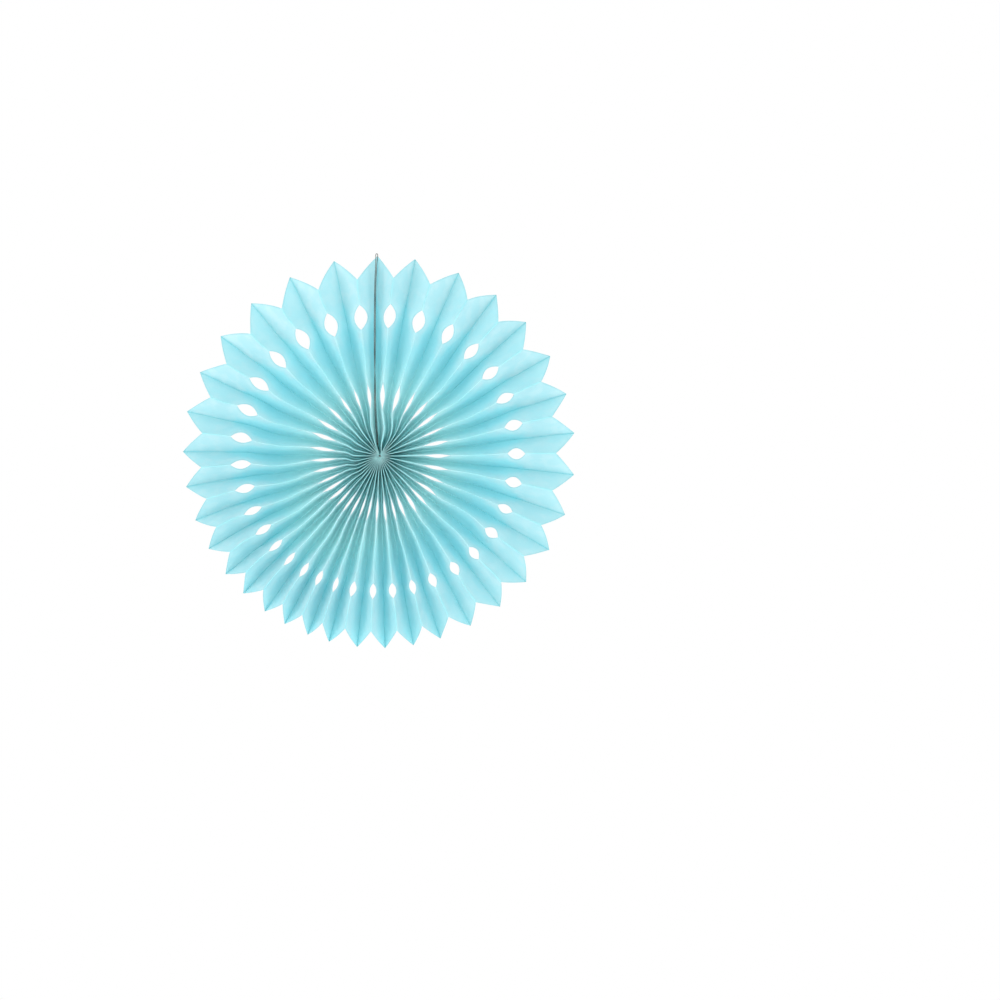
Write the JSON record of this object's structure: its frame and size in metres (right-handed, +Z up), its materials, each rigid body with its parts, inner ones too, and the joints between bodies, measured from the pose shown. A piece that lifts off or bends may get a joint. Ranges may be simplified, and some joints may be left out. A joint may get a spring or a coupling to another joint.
{
  "type": "paper fan rosette",
  "caption": "Round hanging rosette of pleated, die-cut paper with pointed petals, almond eye holes and slits round a pinched hub, on a doubled thread.",
  "frame": {"origin": "middle of the rim circle, at half the depth of the pleats", "axes": "+Z up towards the hanging loop, -Y out of the front face, where the thread lies; the disc stands in the XZ plane"},
  "size_m": [0.3991, 0.035, 0.4018],
  "materials": {
    "paper": "matte turquoise tissue paper",
    "thread": "matte grey twisted thread"
  },
  "bodies": {
    "root": {"pleated_paper": "paper", "centre_tie": "thread", "hanging_thread": "thread"}
  },
  "joints": []
}
